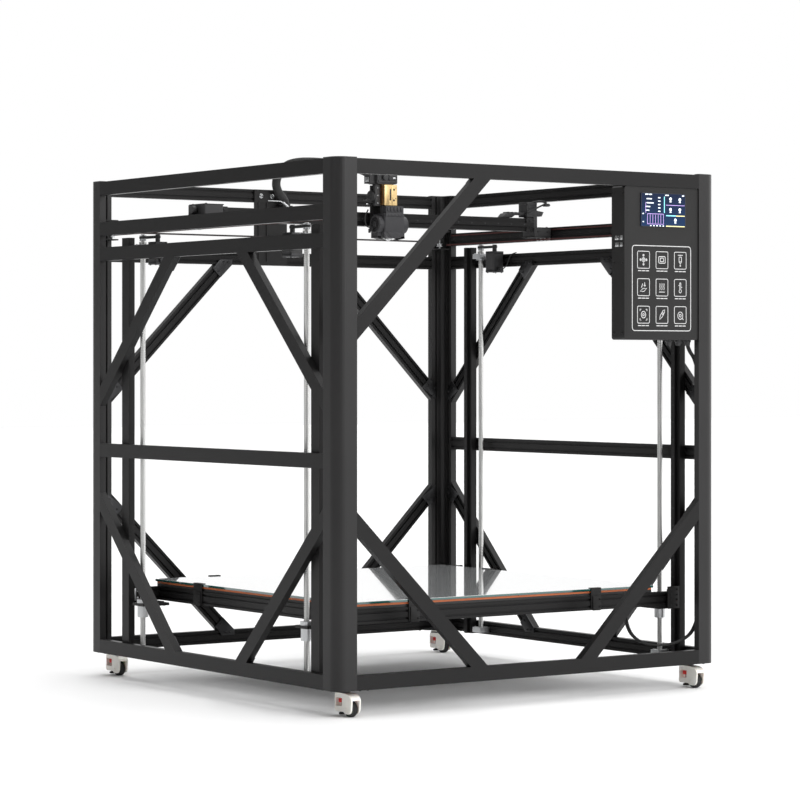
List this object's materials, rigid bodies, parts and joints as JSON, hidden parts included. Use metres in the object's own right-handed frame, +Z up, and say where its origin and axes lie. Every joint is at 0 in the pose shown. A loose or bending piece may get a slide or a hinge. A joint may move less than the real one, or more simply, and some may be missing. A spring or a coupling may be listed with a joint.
{
  "type": "fdm printer",
  "caption": "Open-frame cube 3D printer on levelling casters with a glass bed lifted by lead screws and an overhead moving print head",
  "frame": {"origin": "centre of the footprint, on the floor", "axes": "+Z up, +X to the right along the front, the front faces -Y"},
  "size_m": [1.312, 1.3335, 1.5637],
  "materials": {
    "extrusion": "satin black anodised",
    "screw_steel": "ground and polished",
    "motor_black": "matt black",
    "bed_glass": "polished sheet",
    "heater_silicone": "matt orange silicone",
    "black_plastic": "fine moulded texture",
    "black_sheet": "satin powder coat",
    "gold_alloy": "gold anodised",
    "brass": "turned",
    "screen": "glossy cover",
    "cable_sleeve": "braided sleeve",
    "caster_cream": "moulded nylon",
    "wheel_rubber": "matt",
    "foot_red": "moulded nylon"
  },
  "bodies": {
    "frame": {"corner_post_front_left": "extrusion", "corner_post_front_right": "extrusion", "corner_post_rear_left": "extrusion", "corner_post_rear_right": "extrusion", "top_beam_front": "extrusion", "base_beam_front": "extrusion", "top_beam_right": "extrusion", "base_beam_right": "extrusion", "upper_beam_right": "extrusion", "mid_beam_right": "extrusion", "y_rail_right": "extrusion", "top_beam_rear": "extrusion", "base_beam_rear": "extrusion", "upper_beam_rear": "extrusion", "top_beam_left": "extrusion", "base_beam_left": "extrusion", "upper_beam_left": "extrusion", "mid_beam_left": "extrusion", "y_rail_left": "extrusion", "z_guide_front_left": "extrusion", "z_guide_front_right": "extrusion", "z_guide_rear_left": "extrusion", "z_guide_rear_right": "extrusion", "z_motor_front_left": "motor_black", "z_motor_front_right": "motor_black", "z_motor_rear_left": "motor_black", "z_motor_rear_right": "motor_black", "control_box": "black_sheet", "display": "screen", "rear_plate": "black_sheet", "head_harness": "cable_sleeve", "bed_cable": "cable_sleeve"},
    "bed": {"bed_glass": "bed_glass", "bed_heater": "heater_silicone", "bed_frame": "extrusion"},
    "gantry": {"x_beam": "extrusion", "truck_left": "black_plastic", "truck_right": "black_plastic"},
    "head": {"head_carriage": "black_sheet", "fan_shroud": "black_plastic", "heat_sink": "gold_alloy", "extruder": "black_plastic", "nozzle": "brass"},
    "screw_front_left": {"lead_screw_front_left": "screw_steel"},
    "caster_front_left": {"caster_housing_front_left": "caster_cream"},
    "wheel_front_left": {"caster_wheel_front_left": "wheel_rubber"},
    "foot_front_left": {"caster_foot_front_left": "foot_red"},
    "screw_front_right": {"lead_screw_front_right": "screw_steel"},
    "caster_front_right": {"caster_housing_front_right": "caster_cream"},
    "wheel_front_right": {"caster_wheel_front_right": "wheel_rubber"},
    "foot_front_right": {"caster_foot_front_right": "foot_red"},
    "screw_rear_left": {"lead_screw_rear_left": "screw_steel"},
    "caster_rear_left": {"caster_housing_rear_left": "caster_cream"},
    "wheel_rear_left": {"caster_wheel_rear_left": "wheel_rubber"},
    "foot_rear_left": {"caster_foot_rear_left": "foot_red"},
    "screw_rear_right": {"lead_screw_rear_right": "screw_steel"},
    "caster_rear_right": {"caster_housing_rear_right": "caster_cream"},
    "wheel_rear_right": {"caster_wheel_rear_right": "wheel_rubber"},
    "foot_rear_right": {"caster_foot_rear_right": "foot_red"}
  },
  "joints": [
    {"name": "bed_lift", "type": "slide", "parent": "frame", "child": "bed", "axis": [0, 0, 1], "range_m": [0, 0.995], "deforming": ["bed_cable"]},
    {"name": "gantry_y", "type": "slide", "parent": "frame", "child": "gantry", "axis": [0, 1, 0], "range_m": [-0.55, 0.45], "deforming": ["head_harness"]},
    {"name": "head_x", "type": "slide", "parent": "gantry", "child": "head", "axis": [1, 0, 0], "range_m": [-0.48, 0.48], "deforming": ["head_harness"]},
    {"name": "screw_turn_front_left", "type": "hinge", "parent": "frame", "child": "screw_front_left", "pos_m": [-0.6167, -0.463, 0.5], "axis": [0, 0, 1], "range_deg": [0, 36000]},
    {"name": "screw_turn_front_right", "type": "hinge", "parent": "frame", "child": "screw_front_right", "pos_m": [0.6167, -0.463, 0.5], "axis": [0, 0, 1], "range_deg": [0, 36000]},
    {"name": "screw_turn_rear_left", "type": "hinge", "parent": "frame", "child": "screw_rear_left", "pos_m": [-0.6167, 0.413, 0.5], "axis": [0, 0, 1], "range_deg": [0, 36000]},
    {"name": "screw_turn_rear_right", "type": "hinge", "parent": "frame", "child": "screw_rear_right", "pos_m": [0.6167, 0.413, 0.5], "axis": [0, 0, 1], "range_deg": [0, 36000]},
    {"name": "caster_swivel_front_left", "type": "hinge", "parent": "frame", "child": "caster_front_left", "pos_m": [-0.596, -0.606, 0.065], "axis": [0, 0, 1], "continuous": true},
    {"name": "wheel_spin_front_left", "type": "hinge", "parent": "caster_front_left", "child": "wheel_front_left", "pos_m": [-0.596, -0.643, 0.021], "axis": [1, 0, 0], "continuous": true},
    {"name": "foot_travel_front_left", "type": "slide", "parent": "caster_front_left", "child": "foot_front_left", "axis": [0, 0, 1], "range_m": [-0.008, 0.002]},
    {"name": "caster_swivel_front_right", "type": "hinge", "parent": "frame", "child": "caster_front_right", "pos_m": [0.596, -0.606, 0.065], "axis": [0, 0, 1], "continuous": true},
    {"name": "wheel_spin_front_right", "type": "hinge", "parent": "caster_front_right", "child": "wheel_front_right", "pos_m": [0.596, -0.643, 0.021], "axis": [1, 0, 0], "continuous": true},
    {"name": "foot_travel_front_right", "type": "slide", "parent": "caster_front_right", "child": "foot_front_right", "axis": [0, 0, 1], "range_m": [-0.008, 0.002]},
    {"name": "caster_swivel_rear_left", "type": "hinge", "parent": "frame", "child": "caster_rear_left", "pos_m": [-0.596, 0.626, 0.065], "axis": [0, 0, 1], "continuous": true},
    {"name": "wheel_spin_rear_left", "type": "hinge", "parent": "caster_rear_left", "child": "wheel_rear_left", "pos_m": [-0.596, 0.589, 0.021], "axis": [1, 0, 0], "continuous": true},
    {"name": "foot_travel_rear_left", "type": "slide", "parent": "caster_rear_left", "child": "foot_rear_left", "axis": [0, 0, 1], "range_m": [-0.008, 0.002]},
    {"name": "caster_swivel_rear_right", "type": "hinge", "parent": "frame", "child": "caster_rear_right", "pos_m": [0.596, 0.626, 0.065], "axis": [0, 0, 1], "continuous": true},
    {"name": "wheel_spin_rear_right", "type": "hinge", "parent": "caster_rear_right", "child": "wheel_rear_right", "pos_m": [0.596, 0.589, 0.021], "axis": [1, 0, 0], "continuous": true},
    {"name": "foot_travel_rear_right", "type": "slide", "parent": "caster_rear_right", "child": "foot_rear_right", "axis": [0, 0, 1], "range_m": [-0.008, 0.002]}
  ],
  "couplings": [
    {"joint": "screw_turn_front_left", "follows": "bed_lift", "rad_per_m": 628.32},
    {"joint": "screw_turn_front_right", "follows": "bed_lift", "rad_per_m": 628.32},
    {"joint": "screw_turn_rear_left", "follows": "bed_lift", "rad_per_m": 628.32},
    {"joint": "screw_turn_rear_right", "follows": "bed_lift", "rad_per_m": 628.32}
  ]
}
